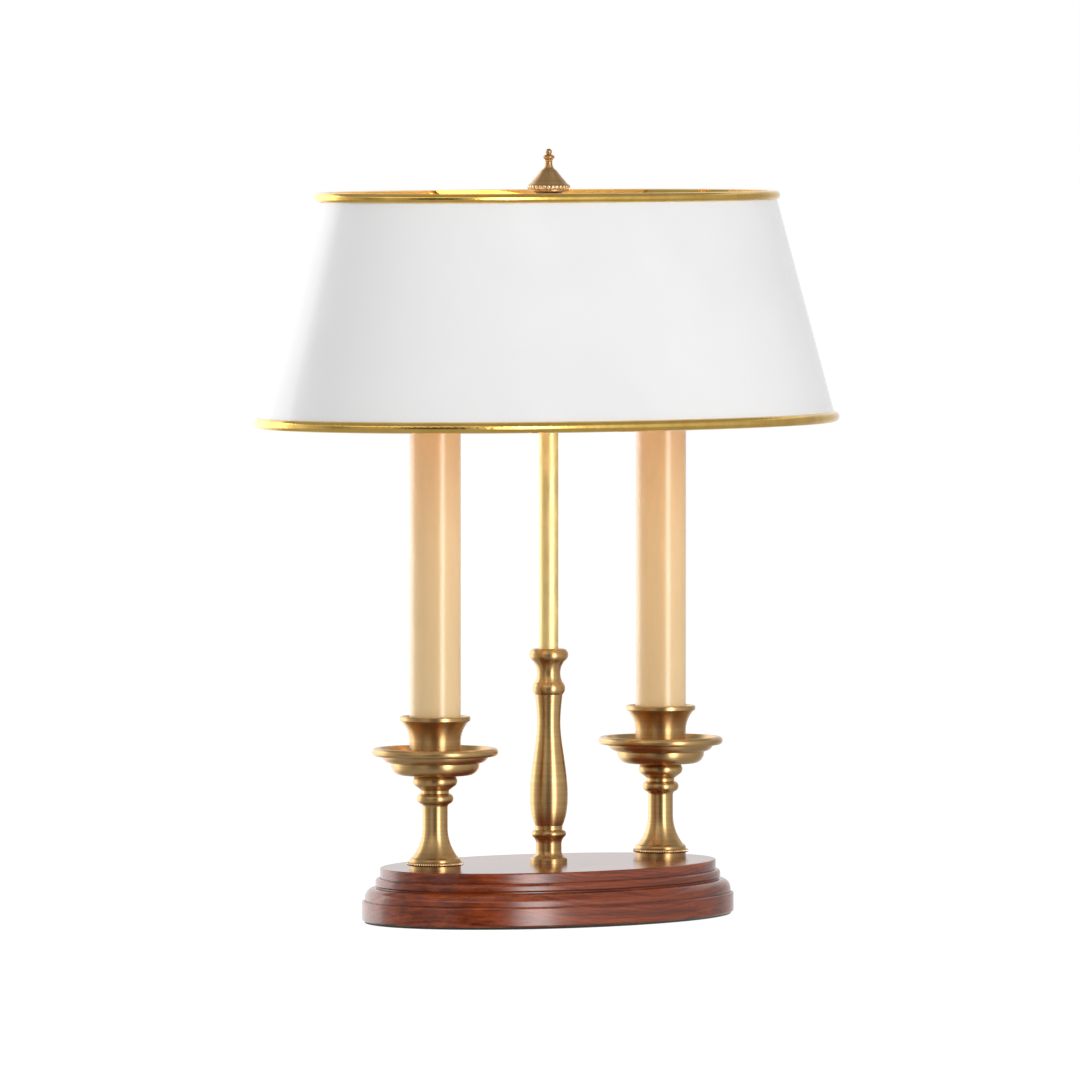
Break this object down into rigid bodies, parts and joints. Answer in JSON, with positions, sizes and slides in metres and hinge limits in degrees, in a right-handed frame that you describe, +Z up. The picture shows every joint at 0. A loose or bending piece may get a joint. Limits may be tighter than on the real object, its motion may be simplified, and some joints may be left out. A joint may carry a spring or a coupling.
{
  "type": "table lamp",
  "caption": "Oval table lamp with twin candlesticks and drip pans on a moulded wooden base, and a tapered oval metal shade held on a central pole by a finial.",
  "frame": {"origin": "centre of the felt's underside, under the pole", "axes": "+Z up along the pole, +X along the base's long axis, +Y towards the back, where the cord and the switch are"},
  "size_m": [0.4478, 0.2986, 0.5088],
  "materials": {
    "mahogany": "satin lacquer",
    "felt": "felt",
    "steel": "zinc plated",
    "antique_brass": "satin, lacquered",
    "bright_brass": "polished",
    "gilt_trim": "mirror polished",
    "ivory_sleeve": "satin ivory",
    "wire_jacket": "brown vinyl",
    "phenolic": "matte",
    "nickel": "satin",
    "frosted_glass": "frosted",
    "white_enamel": "gloss enamel"
  },
  "bodies": {
    "stand": {"wood_base": "mahogany", "felt_pad": "felt", "left_rod": "steel", "left_washer": "steel", "left_nut": "steel", "centre_rod": "steel", "centre_washer": "steel", "centre_nut": "steel", "right_rod": "steel", "right_washer": "steel", "right_nut": "steel", "left_candlestick": "antique_brass", "left_drip_pan": "antique_brass", "left_candle_cup": "antique_brass", "left_cup_nut": "steel", "left_candle_tube": "ivory_sleeve", "left_socket_cap": "bright_brass", "left_socket_body": "phenolic", "left_screw_shell": "bright_brass", "left_centre_contact": "bright_brass", "left_bulb_base": "nickel", "left_bulb_glass": "frosted_glass", "right_candlestick": "antique_brass", "right_drip_pan": "antique_brass", "right_candle_cup": "antique_brass", "right_cup_nut": "steel", "right_candle_tube": "ivory_sleeve", "right_socket_cap": "bright_brass", "right_socket_body": "phenolic", "right_screw_shell": "bright_brass", "right_centre_contact": "bright_brass", "right_bulb_base": "nickel", "right_bulb_glass": "frosted_glass", "baluster": "antique_brass", "pole": "bright_brass", "pole_plug": "bright_brass", "switch_body": "phenolic", "switch_nut": "bright_brass", "cord_bushing": "phenolic", "left_lead": "wire_jacket", "right_lead": "wire_jacket", "left_connector": "phenolic", "right_connector": "phenolic"},
    "shade": {"shade_shell": "white_enamel", "top_trim": "gilt_trim", "bottom_trim": "gilt_trim", "shade_ring": "bright_brass", "spider": "bright_brass"},
    "finial_insert": {"finial_insert": "steel"},
    "finial": {"finial": "bright_brass"},
    "switch_knob": {"switch_knob": "bright_brass", "switch_shaft": "bright_brass"}
  },
  "joints": [
    {"name": "shade_swivel", "type": "hinge", "parent": "stand", "child": "shade", "pos_m": [0, 0, 0.4723], "axis": [0, 0, 1], "continuous": true},
    {"name": "finial_rise", "type": "slide", "parent": "stand", "child": "finial_insert", "axis": [0, 0, 1], "range_m": [0, 0.0056]},
    {"name": "finial_turn", "type": "hinge", "parent": "finial_insert", "child": "finial", "pos_m": [0, 0, 0.4756], "axis": [0, 0, 1], "range_deg": [0, 2160]},
    {"name": "switch_turn", "type": "hinge", "parent": "stand", "child": "switch_knob", "pos_m": [-0.046, 0.08988, 0.0079], "axis": [-0.2233, 0.9748, 0], "continuous": true}
  ],
  "couplings": [
    {"joint": "finial_turn", "follows": "finial_rise", "rad_per_m": 6684.2}
  ]
}
